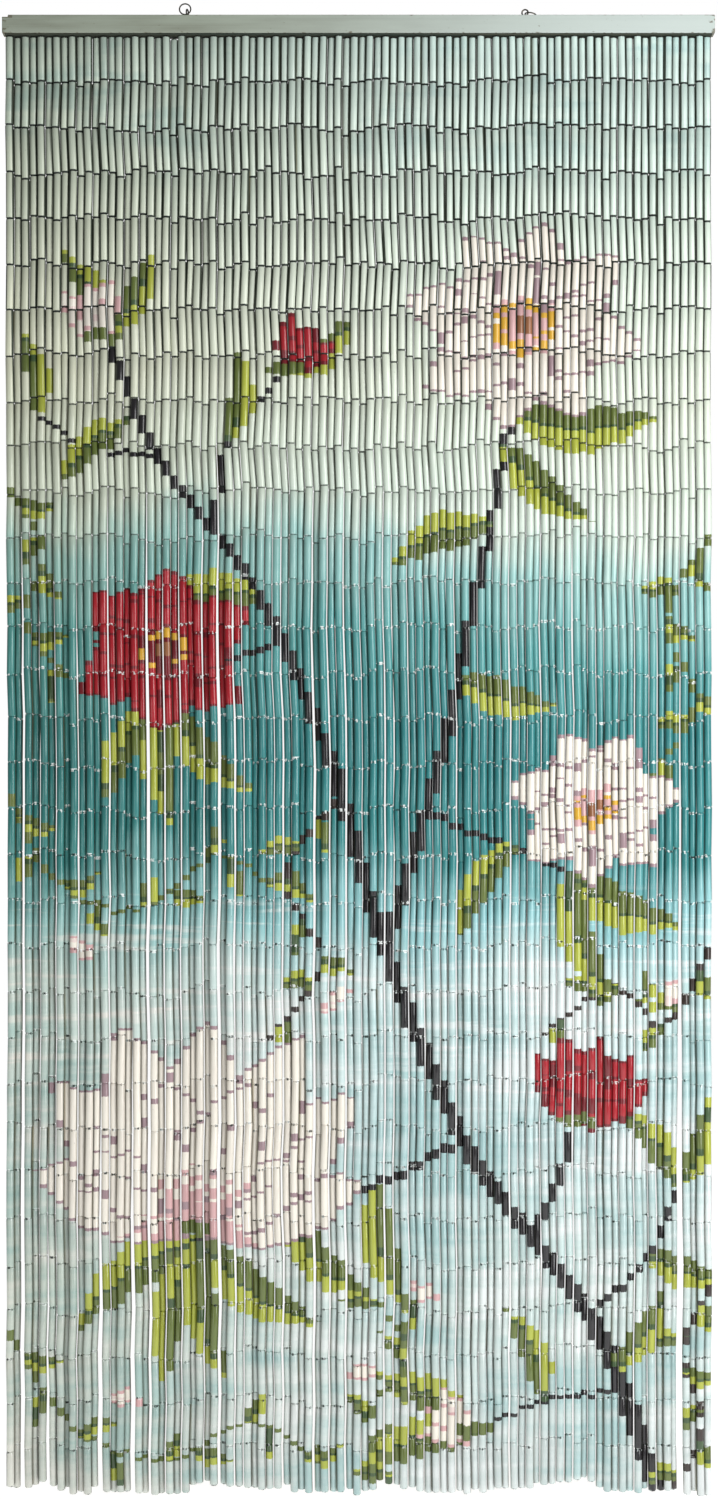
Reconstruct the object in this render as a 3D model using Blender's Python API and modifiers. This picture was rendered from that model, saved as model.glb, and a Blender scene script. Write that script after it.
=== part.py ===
"""Bead curtain on a wooden headrail, modelled in metres.

+Z is up and the front faces -Y. The origin is the centre of the rail's top face. Ninety strands of
bamboo tubes hang side by side under the rail. Each strand is one four-sided rod that leans, parts
from its neighbours and ends where the real strand does, and the rods are fused at their tops to one
narrow strip under the rail. Two screw eyes in the rail's top hold a loose ring each.
"""

from collections import namedtuple
from math import atan2, radians, sqrt

import bmesh
import bpy
import numpy as np
from mathutils import Matrix, Vector

TOUCH = 0.0003  # clear space between pieces that touch

# Headrail: a straight lath with softened edges and a corner knocked off
RAIL_LENGTH = 0.931
RAIL_DEPTH = 0.016
RAIL_HEIGHT = 0.024
RAIL_ROUNDING = 0.0012
WORN_CORNER_LENGTH = 0.0115
WORN_CORNER_SLOPE = 0.004
WORN_CORNER_DEPTH = 0.0032

# Strands: four-sided rods as wide as the bamboo tubes, hung close together and so a little staggered
STRANDS = 90
STRAND_PITCH = 0.01025
BEAD_WIDTH = 0.0108
STRAND_SECTIONS = 7
STRAND_SIDES = 4
STRIP_DEPTH = 0.0158
STRIP_THICKNESS = 0.0012
STRIP_MARGIN = 0.0006
STRAND_ROOT = 0.0005  # how far a rod reaches up into the strip
LOWEST_END = -1.938

# How the strands hang: each leans a little more the lower it gets, and bows a little on the way
LEAN_SEED = 29
LEAN = 0.0012
LEAN_POWER = 1.3
BOW = 0.0005
UNEVEN_END = 0.0014
LEAN_LIMIT = 2.2  # the furthest lean, in steps of LEAN
ROOT_STRAY = 0.00012  # how far a strand is fixed off its row
ROOT_FADE = 3.0  # this stray is gone a third of the way down

# Places where the row of strands parts on the way down: where, how far down it starts, how wide
Parting = namedtuple("Parting", "across starts opening reach")
PARTINGS = (
    Parting(across=-0.439, starts=0.55, opening=0.005, reach=0.012),
    Parting(across=-0.407, starts=0.70, opening=0.007, reach=0.022),
    Parting(across=-0.341, starts=0.62, opening=0.009, reach=0.030),
    Parting(across=-0.298, starts=0.56, opening=0.008, reach=0.030),
    Parting(across=0.422, starts=0.30, opening=0.010, reach=0.028),
)

# How far the hem rises above its lowest point, read across the curtain
HemRise = namedtuple("HemRise", "across rise")
HEM = (
    HemRise(across=-0.450, rise=0.008),
    HemRise(across=-0.416, rise=0.016),
    HemRise(across=-0.374, rise=0.003),
    HemRise(across=-0.348, rise=0.006),
    HemRise(across=-0.239, rise=0.001),
    HemRise(across=-0.216, rise=0.017),
    HemRise(across=-0.120, rise=0.010),
    HemRise(across=0.002, rise=0.003),
    HemRise(across=0.025, rise=0.017),
    HemRise(across=0.101, rise=0.002),
    HemRise(across=0.200, rise=0.009),
    HemRise(across=0.298, rise=0.024),
    HemRise(across=0.320, rise=0.004),
    HemRise(across=0.380, rise=0.009),
    HemRise(across=0.451, rise=0.000),
)

# Screw eyes and their rings, near the quarter points of the rail
EYE_SPACING = 0.442
EYES_OFF_CENTRE = -0.003
EYE_RADIUS = 0.004  # to the middle of the wire
EYE_WIRE = 0.0010  # radius
SHANK_RADIUS = 0.0012
SHANK_LENGTH = 0.010
SHANK_POINT = 0.003
SHANK_TIP_SCALE = 0.25
LEFT_EYE_TURN = radians(75)  # seen nearly edge on
RIGHT_EYE_TURN = radians(-8)  # seen nearly face on
RING_RADIUS = 0.0074  # to the middle of the wire
RING_WIRE = 0.0009  # radius
RING_CLEARANCE = 0.0004
LEFT_RING_LEAN = radians(25)  # how far round the standing ring has rolled to the left
LEFT_RING_TILT = radians(-7)  # how far it leans back
RIM_STEPS = 28
WIRE_STEPS = 8

RAIL_COLOUR = (0.29, 0.32, 0.26)
BEAD_COLOUR = (0.40, 0.55, 0.50)
STEEL_COLOUR = (0.42, 0.42, 0.40)


def clear_scene():
    """Removes whatever the scene holds."""
    for thing in list(bpy.data.objects):
        bpy.data.objects.remove(thing, do_unlink=True)


def new_collection(name):
    """A collection of this name under the scene."""
    group = bpy.data.collections.new(name)
    bpy.context.scene.collection.children.link(group)
    return group


def finish(name, colour, roughness, metallic):
    """A plain finish for one sub-part."""
    material = bpy.data.materials.new(name)
    material.use_nodes = True
    shader = material.node_tree.nodes["Principled BSDF"]
    shader.inputs["Base Color"].default_value = (*colour, 1.0)
    shader.inputs["Roughness"].default_value = roughness
    shader.inputs["Metallic"].default_value = metallic
    return material


def place(name, shape, group, material=None):
    """Turns a bmesh into an object of this name in a collection."""
    bmesh.ops.recalc_face_normals(shape, faces=shape.faces)
    mesh = bpy.data.meshes.new(name)
    shape.to_mesh(mesh)
    shape.free()
    thing = bpy.data.objects.new(name, mesh)
    group.objects.link(thing)
    if material:
        mesh.materials.append(material)
    return thing


def block(low, high):
    """A box between two corners, as a bmesh."""
    low = Vector(low)
    high = Vector(high)
    shape = bmesh.new()
    size = Matrix.Diagonal((*(high - low), 1.0))
    bmesh.ops.create_cube(shape, size=1.0, matrix=Matrix.Translation((low + high) / 2) @ size)
    return shape


def as_guide(thing):
    """Marks an object that only cuts or joins another."""
    thing.hide_render = True
    thing.display_type = "WIRE"


def combine(thing, other, operation):
    """Cuts or joins one object with another, which becomes a guide."""
    as_guide(other)
    modifier = thing.modifiers.new(other.name, "BOOLEAN")
    modifier.operation = operation
    modifier.object = other


def smooth_step(value):
    """0 below 0, 1 above 1, and a soft rise between."""
    value = np.clip(value, 0.0, 1.0)
    return value * value * (3.0 - 2.0 * value)


def strand_row():
    """Where each strand is fixed, how it leans and bows, and how far its end and its root stray."""
    across = (np.arange(STRANDS) - (STRANDS - 1) / 2) * STRAND_PITCH
    draws = np.random.default_rng(LEAN_SEED).normal(size=(4, STRANDS))
    draws = np.clip(draws, -LEAN_LIMIT, LEAN_LIMIT)
    return across, draws[0] * LEAN, draws[1] * BOW, draws[2] * UNEVEN_END, draws[3] * ROOT_STRAY


def strand_places(down):
    """Centres of all strands, x and y, at shares of the drop from 0 at the rail to 1 at the hem.

    A strand leans by its own amount times the share to a power, bows by half a sine, and moves aside
    at each parting by half the opening, less the further away it hangs. Where two neighbours come
    nearer than a bead's width they hang one behind the other, every second strand to the front.
    """
    across, lean, bow, _, root = strand_row()
    down = np.asarray(down, float)[:, None]
    x = across + lean * down**LEAN_POWER + bow * np.sin(np.pi * down)
    for parting in PARTINGS:
        beside = across - parting.across
        share = np.sign(beside) * np.exp(-np.abs(beside) / parting.reach)
        opened = smooth_step((down - parting.starts) / (1.0 - parting.starts))
        x = x + parting.opening / 2 * share * opened
    nearness = np.clip((BEAD_WIDTH + TOUCH) ** 2 - np.diff(x, axis=1) ** 2, 0.0, None)
    apart = np.sqrt(nearness)
    needed = np.maximum(np.pad(apart, ((0, 0), (1, 0))), np.pad(apart, ((0, 0), (0, 1))))
    side = np.where(np.arange(STRANDS) % 2, 0.5, -0.5)
    return x, needed * side + root * np.clip(1.0 - ROOT_FADE * down, 0.0, 1.0)


def strand_ends():
    """Height of each strand's lower end."""
    across, _, _, stray, _ = strand_row()
    rise = np.interp(across, [row.across for row in HEM], [row.rise for row in HEM])
    return LOWEST_END + rise + np.abs(stray)


def drawn_out(shape, face, step, closed=True):
    """Draws a face out by a step and returns the new end face. A lone face is left behind as the cap."""
    grown = bmesh.ops.extrude_face_region(shape, geom=[face])["geom"]
    corners = [item for item in grown if isinstance(item, bmesh.types.BMVert)]
    end = next(item for item in grown if isinstance(item, bmesh.types.BMFace))
    bmesh.ops.translate(shape, verts=corners, vec=step)
    if closed:
        bmesh.ops.delete(shape, geom=[face], context="FACES_ONLY")
    return end


def build_rail(parts, guides):
    """The lath: a block with rounded edges, less its worn corner and the holes for the eyes."""
    half = Vector((RAIL_LENGTH / 2, RAIL_DEPTH / 2, 0.0))
    shape = block((-half.x, -half.y, -RAIL_HEIGHT), (half.x, half.y, 0.0))
    rail = place("headrail", shape, parts, finish("painted_lath", RAIL_COLOUR, 0.6, 0.0))
    rounding = rail.modifiers.new("rounding", "BEVEL")
    rounding.width = RAIL_ROUNDING
    rounding.segments = 2

    inner = -half.x + WORN_CORNER_LENGTH
    chip = block((-half.x - RAIL_DEPTH, -RAIL_DEPTH, -WORN_CORNER_DEPTH), (inner, RAIL_DEPTH, RAIL_DEPTH))
    foot = [v for v in chip.verts if v.co.x > inner - TOUCH and v.co.z < 0.0]
    bmesh.ops.translate(chip, verts=foot, vec=(-WORN_CORNER_SLOPE, 0.0, 0.0))
    combine(rail, place("worn_corner", chip, guides), "DIFFERENCE")
    return rail


def build_strands(parts, guides):
    """The strip under the rail with every strand's rod fused to it."""
    top = -RAIL_HEIGHT - TOUCH
    bottom = top - STRIP_THICKNESS
    half = (STRANDS - 1) / 2 * STRAND_PITCH + BEAD_WIDTH / 2 + STRIP_MARGIN
    strip = block((-half, -STRIP_DEPTH / 2, bottom), (half, STRIP_DEPTH / 2, top))
    strands = place("bead_strands", strip, parts, finish("painted_bamboo", BEAD_COLOUR, 0.5, 0.0))

    down = np.linspace(0.0, 1.0, STRAND_SECTIONS + 1)
    x, y = strand_places(down)
    root = bottom + STRAND_ROOT
    z = root + down[:, None] * (strand_ends() - root)
    points = np.stack((x, y, z), axis=2)
    rods = bmesh.new()
    for strand in range(STRANDS):
        path = [Vector(point) for point in points[:, strand]]
        ring = bmesh.ops.create_circle(
            rods,
            cap_ends=True,
            segments=STRAND_SIDES,
            radius=BEAD_WIDTH / 2,
            matrix=Matrix.Translation(path[0]),
        )
        end = drawn_out(rods, ring["verts"][0].link_faces[0], path[1] - path[0], closed=False)
        for here, there in zip(path[1:], path[2:]):
            end = drawn_out(rods, end, there - here)
    combine(strands, place("strand_rods", rods, guides), "UNION")
    return strands


def torus(name, radius, wire, group, material=None):
    """A ring of round wire lying flat at the origin."""
    bpy.ops.mesh.primitive_torus_add(
        major_segments=RIM_STEPS,
        minor_segments=WIRE_STEPS,
        major_radius=radius,
        minor_radius=wire,
    )
    ring = bpy.context.object
    ring.name = name
    ring.data.shade_smooth()
    for holder in list(ring.users_collection):
        holder.objects.unlink(ring)
    group.objects.link(ring)
    if material:
        ring.data.materials.append(material)
    return ring


def pin(radius, top, bottom, point):
    """A round pin along Z with a point at its lower end, as a bmesh."""
    shape = bmesh.new()
    middle = Matrix.Translation((0.0, 0.0, (top + bottom) / 2))
    bmesh.ops.create_cone(
        shape,
        cap_ends=True,
        segments=12,
        radius1=radius,
        radius2=radius,
        depth=top - bottom,
        matrix=middle,
    )
    if point:
        end = min(shape.faces, key=lambda face: face.calc_center_median().z)
        tip = drawn_out(shape, end, (0.0, 0.0, -point))
        bmesh.ops.scale(shape, verts=tip.verts, vec=(SHANK_TIP_SCALE, SHANK_TIP_SCALE, 1.0))
    return shape


def build_eye(side, x, turn, rail, parts, guides):
    """A wire eye that stands just clear of the rail on a pointed shank, and the hole for the shank."""
    steel = finish(f"steel_eye_{side}", STEEL_COLOUR, 0.35, 1.0)
    eye = torus(f"screw_eye_{side}", EYE_RADIUS, EYE_WIRE, parts, steel)
    centre = TOUCH + EYE_RADIUS + EYE_WIRE
    upright = Matrix.Rotation(turn, 4, "Z") @ Matrix.Rotation(radians(90), 4, "X")
    eye.data.transform(Matrix.Translation((x, 0.0, centre)) @ upright)
    top = TOUCH + EYE_WIRE
    shank = place(f"shank_{side}", pin(SHANK_RADIUS, top, -SHANK_LENGTH, SHANK_POINT), guides)
    shank.location.x = x
    combine(eye, shank, "UNION")

    depth = SHANK_LENGTH + SHANK_POINT + TOUCH
    hole = place(f"pilot_hole_{side}", pin(SHANK_RADIUS + TOUCH, EYE_WIRE, -depth, 0.0), guides)
    hole.location.x = x
    combine(rail, hole, "DIFFERENCE")
    return eye


def ring_seat():
    """Height of a ring's wire where it rests on the lower side of its eye."""
    return TOUCH + 2 * EYE_WIRE + RING_CLEARANCE + RING_WIRE


def build_standing_ring(x, parts):
    """The left ring stands up through its eye, rolled a little to the left and leaning back."""
    steel = finish("steel_ring_left", STEEL_COLOUR, 0.3, 1.0)
    ring = torus("hang_ring_left", RING_RADIUS, RING_WIRE, parts, steel)
    seat = Vector((x, 0.0, ring_seat()))
    upright = Matrix.Rotation(radians(90), 4, "X")
    lift = Matrix.Translation((0.0, 0.0, RING_RADIUS))
    swung = Matrix.Rotation(LEFT_RING_TILT, 4, "X") @ Matrix.Rotation(-LEFT_RING_LEAN, 4, "Y")
    ring.data.transform(Matrix.Translation(seat) @ swung @ lift @ upright)
    return ring


def build_lying_ring(x, parts):
    """The right ring lies along the rail, with one side lifted by its eye."""
    steel = finish("steel_ring_right", STEEL_COLOUR, 0.3, 1.0)
    ring = torus("hang_ring_right", RING_RADIUS, RING_WIRE, parts, steel)
    fall = ring_seat() - TOUCH - RING_WIRE
    run = sqrt((2 * RING_RADIUS) ** 2 - fall**2)
    seat = Vector((x, 0.0, ring_seat()))
    slope = Matrix.Rotation(atan2(fall, run), 4, "Y")
    ring.data.transform(Matrix.Translation(seat) @ slope @ Matrix.Translation((RING_RADIUS, 0.0, 0.0)))
    return ring


clear_scene()
curtain = new_collection("bead_curtain")
helpers = new_collection("bead_curtain_guides")
lath = build_rail(curtain, helpers)
build_strands(curtain, helpers)
left_eye_x = EYES_OFF_CENTRE - EYE_SPACING / 2
right_eye_x = EYES_OFF_CENTRE + EYE_SPACING / 2
build_eye("left", left_eye_x, LEFT_EYE_TURN, lath, curtain, helpers)
build_eye("right", right_eye_x, RIGHT_EYE_TURN, lath, curtain, helpers)
build_standing_ring(left_eye_x, curtain)
build_lying_ring(right_eye_x, curtain)
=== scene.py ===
"""Bead curtain of painted bamboo tubes on a wooden headrail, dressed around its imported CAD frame.

Metres, +Z up, the painted front faces -Y, and the origin is the centre of the rail's top face.
"""

import math

import bpy
import numpy as np
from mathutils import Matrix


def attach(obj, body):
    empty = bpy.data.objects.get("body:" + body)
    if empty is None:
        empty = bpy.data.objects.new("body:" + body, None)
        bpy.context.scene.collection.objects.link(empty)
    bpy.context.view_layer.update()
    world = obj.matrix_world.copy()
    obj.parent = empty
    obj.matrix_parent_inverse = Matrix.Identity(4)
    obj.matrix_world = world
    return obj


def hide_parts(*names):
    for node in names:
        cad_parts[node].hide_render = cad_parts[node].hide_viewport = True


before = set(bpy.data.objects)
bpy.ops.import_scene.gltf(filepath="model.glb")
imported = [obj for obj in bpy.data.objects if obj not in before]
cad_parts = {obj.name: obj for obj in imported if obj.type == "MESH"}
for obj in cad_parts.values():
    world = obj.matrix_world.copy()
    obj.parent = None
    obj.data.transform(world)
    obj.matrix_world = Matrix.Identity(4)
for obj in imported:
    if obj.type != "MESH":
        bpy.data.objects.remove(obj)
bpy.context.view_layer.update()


# Headrail: a straight softwood lath with softened edges, painted in the pale sage of the curtain's
# top. The thin paint lets the grain through and has rubbed off along the edges and the worn corner.

RAIL_HEIGHT = 0.024
RAIL_HALF_LENGTH = 0.4655
RAIL_PAINT = (158, 167, 152)
RAIL_PAINT_THIN = (138, 144, 129)
RAIL_PAINTED_LIGHT = (196, 208, 205)
RAIL_BARE = (96, 88, 68)
RAIL_GRAIN = (2.2, 260.0, 260.0)  # bands a metre along the lath and across it
EDGE_WEAR = 0.0022  # how far in from a long edge the paint is rubbed
END_WEAR = 0.012
CORNER_X = -0.452  # the upper left corner is broken off beyond this and above CORNER_Z
CORNER_Z = -0.0045


def colour(red, green, blue):
    """A paint's linear colour from its screen numbers, by the sRGB curve."""
    share = np.array((red, green, blue)) / 255.0
    linear = np.where(share <= 0.04045, share / 12.92, ((share + 0.055) / 1.055) ** 2.4)
    return (*map(float, linear), 1.0)


class Wire:
    """A node's output in a formula. Each operator between numbers adds one Math node."""

    def __init__(self, finish, socket):
        self.finish = finish
        self.socket = socket

    def maths(self, operation, first, second=0.0):
        return self.finish.add("ShaderNodeMath", {"operation": operation}, {0: first, 1: second})

    def __add__(self, other):
        return self.maths("ADD", self, other)

    def __radd__(self, other):
        return self.maths("ADD", other, self)

    def __sub__(self, other):
        return self.maths("SUBTRACT", self, other)

    def __rsub__(self, other):
        return self.maths("SUBTRACT", other, self)

    def __mul__(self, other):
        return self.maths("MULTIPLY", self, other)

    def __rmul__(self, other):
        return self.maths("MULTIPLY", other, self)

    def __truediv__(self, other):
        return self.maths("DIVIDE", self, other)

    def __lt__(self, other):
        return self.maths("LESS_THAN", self, other)

    def __gt__(self, other):
        return self.maths("GREATER_THAN", self, other)

    def __abs__(self):
        return self.maths("ABSOLUTE", self)

    def rise(self, start, end):
        """0 at start and before, 1 at end and after, with a soft rise between."""
        ranged = {"interpolation_type": "SMOOTHSTEP"}
        return self.finish.add("ShaderNodeMapRange", ranged, {0: self, 1: start, 2: end})


class Finish:
    """A material in the making: one method adds any node, and the rest are short forms of it."""

    def __init__(self, name):
        self.material = bpy.data.materials.new(name)
        self.material.use_nodes = True
        self.nodes = self.material.node_tree.nodes
        self.links = self.material.node_tree.links
        self.surface = self.nodes["Principled BSDF"]

    def add(self, kind, settings, sockets, output=0):
        """A node of this kind: its settings first, then a value or a link for each socket."""
        node = self.nodes.new(kind)
        for name, value in settings.items():
            if name == "stops":
                self.fill_ramp(node.color_ramp, value)
            elif name == "blend":
                node.color_ramp.interpolation = value
            else:
                setattr(node, name, value)
        self.join(node, sockets)
        return Wire(self, node.outputs[output])

    def fill_ramp(self, ramp, stops):
        while len(ramp.elements) < len(stops):
            ramp.elements.new(0.5)
        for element, (position, shade) in zip(ramp.elements, stops):
            element.position = position
            element.color = shade

    def join(self, node, sockets):
        for name, value in sockets.items():
            if isinstance(value, Wire):
                self.links.new(value.socket, node.inputs[name])
            else:
                node.inputs[name].default_value = value

    def wear(self, **sockets):
        """Sets or links the surface's own sockets, with _ for a space in their names."""
        self.join(self.surface, {name.replace("_", " "): value for name, value in sockets.items()})

    def place(self):
        """Object coordinates as a vector."""
        return self.add("ShaderNodeTexCoord", {}, {}, "Object")

    def parts(self, vector):
        """The three numbers of a vector."""
        first = self.add("ShaderNodeSeparateXYZ", {}, {0: vector})
        outputs = first.socket.node.outputs
        return [Wire(self, socket) for socket in outputs]

    def noise(self, vector, scale, detail=2.0, roughness=0.5):
        """Noise from 0 to 1, with its own scale along each axis."""
        stretched = self.add("ShaderNodeMapping", {}, {0: vector, 3: scale})
        sockets = {"Vector": stretched, "Scale": 1.0, "Detail": detail, "Roughness": roughness}
        return self.add("ShaderNodeTexNoise", {}, sockets)

    def ramp(self, value, stops, blend="LINEAR"):
        return self.add("ShaderNodeValToRGB", {"stops": stops, "blend": blend}, {0: value})

    def mixed(self, share, first, second, blend="MIX"):
        """One colour over another by a share."""
        settings = {"data_type": "RGBA", "blend_type": blend}
        return self.add("ShaderNodeMix", settings, {0: share, 6: first, 7: second}, 2)

    def bump(self, height, distance, strength):
        sockets = {"Height": height, "Distance": distance, "Strength": strength}
        return self.add("ShaderNodeBump", {}, sockets)

    def on(self, thing):
        thing.data.materials.clear()
        thing.data.materials.append(self.material)


def rail_finish():
    """Paint over grain: streaks along X thin it, dabs of noise near an edge rub it off, and the right
    end is painted paler, a painted light on the side of the lamp."""
    paint = Finish("painted_lath")
    place = paint.place()
    x, _, z = paint.parts(place)
    grain = paint.noise(place, RAIL_GRAIN, 4.0, 0.6)
    cloudy = paint.noise(place, (9.0, 40.0, 60.0), 3.0)
    dabs = paint.noise(place, (160.0, 300.0, 300.0), 3.0)
    thin = (grain * 0.40 + cloudy * 0.75).rise(0.42, 0.78)
    base = paint.mixed(thin, colour(*RAIL_PAINT), colour(*RAIL_PAINT_THIN))
    # painted light: the rail is painted paler towards its right end, the side of the lamp
    base = paint.mixed(x.rise(-0.30, 0.42) * 0.8, base, colour(*RAIL_PAINTED_LIGHT))
    middle = abs(z + RAIL_HEIGHT / 2)
    edge = middle.rise(RAIL_HEIGHT / 2 - EDGE_WEAR, RAIL_HEIGHT / 2)
    end = abs(x).rise(RAIL_HALF_LENGTH - END_WEAR, RAIL_HALF_LENGTH)
    rubbed = (dabs + edge * 0.16 + end * 0.2).rise(0.70, 0.80)
    base = paint.mixed(rubbed * 0.8, base, colour(*RAIL_BARE))
    worn = (x < CORNER_X) * (z > CORNER_Z)
    base = paint.mixed(worn * 0.7, base, colour(*RAIL_BARE))
    height = grain * 0.6 + dabs * 0.4
    paint.wear(Base_Color=base, Roughness=0.5 + grain * 0.25, Normal=paint.bump(height, 0.0004, 0.6))
    return paint


rail_finish().on(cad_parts["headrail"])


# Screw eyes and loose rings: bent from zinc-plated steel wire, gone dull, with a little dirt in
# spots. The two eyes are turned into the top of the rail, and each ring hangs loose.

STEEL = (86, 82, 74)
STEEL_DIRT = (28, 26, 22)


def steel_finish(name, scale):
    """Dull plate: noise darkens it in spots and roughens the same spots."""
    steel = Finish(name)
    spots = steel.noise(steel.place(), (scale, scale, scale), 4.0, 0.6).rise(0.45, 0.75)
    steel.wear(
        Base_Color=steel.mixed(spots, colour(*STEEL), colour(*STEEL_DIRT)),
        Metallic=0.9,
        Roughness=0.32 + spots * 0.3,
        Normal=steel.bump(spots, 0.00008, 0.5),
    )
    return steel


plated_wire = steel_finish("zinc_plated_wire", 900.0)
for node in ("screw_eye_left", "screw_eye_right", "hang_ring_left", "hang_ring_right"):
    plated_wire.on(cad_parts[node])


# Strands: ninety hang side by side from the rail, 32 bamboo tubes to each. They lean and bow a
# little, part in some places lower down, and hang one before the other where they come too near.

STRANDS = 90
PITCH = 0.01025
BEAD_ROOM = 0.0107  # how near the centres of two strands may hang
ROOT = -0.0250
LOWEST_END = -1.938
LEAN_SEED = 29
LEAN = 0.0012
LEAN_POWER = 1.3
BOW = 0.0005
UNEVEN_END = 0.0014
LEAN_LIMIT = 2.2
PARTINGS = (  # across, how far down it starts, opening, reach
    (-0.439, 0.55, 0.005, 0.012),
    (-0.407, 0.70, 0.007, 0.022),
    (-0.341, 0.62, 0.009, 0.030),
    (-0.298, 0.56, 0.008, 0.030),
    (0.422, 0.30, 0.010, 0.028),
)
HEM = (  # across, rise above the lowest point
    (-0.450, 0.008),
    (-0.416, 0.016),
    (-0.374, 0.003),
    (-0.348, 0.006),
    (-0.239, 0.001),
    (-0.216, 0.017),
    (-0.120, 0.010),
    (0.002, 0.003),
    (0.025, 0.017),
    (0.101, 0.002),
    (0.200, 0.009),
    (0.298, 0.024),
    (0.320, 0.004),
    (0.380, 0.009),
    (0.451, 0.000),
)
BEADS = 32
FIRST_BEAD = -0.0273  # top of the first bead, just under the rail
SLIPPED_STRAND = 21  # hangs lower on a longer hook
SLIP = 0.0035
OFF_ROW_ALONE = 0.0020
OFF_ROW_CARRIED = 0.85  # the share of a strand's stray at one joint that the next one has too
OFF_ROW_ALIKE = 0.0019
OFF_ROW_LIMIT = 0.0095
OFF_ROW_AT_HEM = 0.6
STAPLED_STRAY = 0.00050
JOINT_STRAY = 0.00048
FREE_FROM = 0.3  # the share of JOINT_STRAY that the first joint has, held by its staple
FREE_RATE = 12.0
NEAREST = 0.0086  # near the rail, two strands hang this near at least
CLOSED = 0.0107  # and this far apart at most, so that they hide the slit between them
CLOSED_LESS = 0.0004
LOOSE = 0.0011  # how far strands stray to the side once they hang free, the left ones more
LOOSE_LESS = 0.35
LOOSE_FROM = 0.24
LOOSE_RUN = 0.26
TIGHTEST = 0.0080  # lower down, two strands hang this near at least
SPACING_PASSES = 6
ALIKE_WINDOW = np.array((1.0, 2.0, 3.0, 2.0, 1.0)) / 4.36  # its squares add up to 1


def smooth_step(value):
    """0 below 0, 1 above 1, and a soft rise between."""
    value = np.clip(value, 0.0, 1.0)
    return value * value * (3.0 - 2.0 * value)


across = (np.arange(STRANDS) - (STRANDS - 1) / 2) * PITCH
own = np.random.default_rng(LEAN_SEED).normal(size=(3, STRANDS)).clip(-LEAN_LIMIT, LEAN_LIMIT)
own_lean, own_bow, own_end = own
hem_across, hem_rise = np.array(HEM).T
strand_end = LOWEST_END + np.interp(across, hem_across, hem_rise) + np.abs(own_end) * UNEVEN_END


def strand_line(down):
    """Where the strands hang across the curtain at shares of the drop: a strand leans by its own
    amount times the share to a power, and bows by half a sine."""
    return across + own_lean * LEAN * down**LEAN_POWER + own_bow * BOW * np.sin(np.pi * down)


def parted(x, down):
    """Strands moved aside at each parting by half the opening, less the further away they hang."""
    for where, starts, opening, reach in PARTINGS:
        beside = across - where
        share = np.sign(beside) * np.exp(-np.abs(beside) / reach)
        x = x + opening / 2 * share * smooth_step((down - starts) / (1.0 - starts))
    return x


def spaced(x, nearest, furthest):
    """Strands moved until no two hang nearer or further apart than this. The row keeps its width."""
    for _ in range(SPACING_PASSES):
        spacing = np.diff(x, axis=1).clip(nearest, furthest)
        whole = (x[:, -1:] - x[:, :1]) / spacing.sum(axis=1, keepdims=True)
        x = x[:, :1] + np.pad(np.cumsum(spacing * whole, axis=1), ((0, 0), (1, 0)))
    return x


def closed_up(x):
    """Strands drawn together near the rail, where no slit shows: the furthest spacing is CLOSED, less
    towards the two sides, where the eye looks in between them."""
    limit = CLOSED - CLOSED_LESS * np.abs(across[1:] + across[:-1]) / (across[-1] - across[0])
    return spaced(x, NEAREST, limit)


def loosened(x, down):
    """Strands strayed apart lower down, where they hang free and thin slits show between some."""
    stray = LOOSE * np.random.default_rng(13).normal(size=STRANDS).clip(-1.7, 1.7)
    stray = stray * (1.0 - LOOSE_LESS * across / across[-1])
    return spaced(x + stray * smooth_step((down - LOOSE_FROM) / LOOSE_RUN), TIGHTEST, 2 * PITCH)


def strand_depth(x):
    """Where neighbours come too near they hang one behind the other, every second one to the front.
    The depth between two is the other leg of a triangle, whose long side is the room they need."""
    apart = np.sqrt(np.clip(BEAD_ROOM**2 - np.diff(x, axis=1) ** 2, 0.0, None))
    needed = np.maximum(np.pad(apart, ((0, 0), (1, 0))), np.pad(apart, ((0, 0), (0, 1))))
    return needed * np.where(np.arange(STRANDS) % 2, 0.5, -0.5)


def joint_points():
    """Where the tubes of each strand meet, as an array of joint, strand and x, y, z.

    Tubes are cut by eye, so a joint lies up to some millimetres off its row: one share is the
    strand's own, most of it carried on to the next joint, and one is alike for strands side by side.
    Strands are stapled up and lean by eye too, and part lower down.
    """
    rng = np.random.default_rng(11)
    share = np.arange(BEADS + 1)[:, None] / BEADS
    alone = rng.normal(size=(BEADS + 1, STRANDS))
    for joint in range(1, BEADS + 1):
        alone[joint] += OFF_ROW_CARRIED * alone[joint - 1]
    rows = rng.normal(size=(BEADS + 1, STRANDS))
    alike = np.array([np.convolve(row, ALIKE_WINDOW, "same") for row in rows])
    off_row = (OFF_ROW_ALONE * alone + OFF_ROW_ALIKE * alike).clip(-OFF_ROW_LIMIT, OFF_ROW_LIMIT)
    off_row[0] = 0.0
    off_row[-1] = OFF_ROW_AT_HEM * np.abs(off_row[-1])
    top = FIRST_BEAD + 0.0005 * rng.normal(size=STRANDS).clip(-1.5, 1.5)
    top[SLIPPED_STRAND] -= SLIP
    z = top + share * (strand_end - top) + off_row
    down = ((ROOT - z) / (ROOT - strand_end)).clip(0.0, 1.0)
    stapled = STAPLED_STRAY * rng.normal(size=STRANDS).clip(-1.8, 1.8)
    stray = rng.normal(size=(2, BEADS + 1, STRANDS)).clip(-1.8, 1.8)
    x = strand_line(down) + stapled + JOINT_STRAY * stray[0] * smooth_step(share * FREE_RATE + FREE_FROM)
    x = parted(loosened(closed_up(x), down), down)
    return np.stack((x, strand_depth(x) + 0.0001 * stray[1], z), axis=2)


joints = joint_points()


# Painting: brushed and sprayed across the front while the strands lie side by side, so each tube
# carries short bands of colour. Once hung, the strands slip up or down and the picture's edges step.

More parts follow.
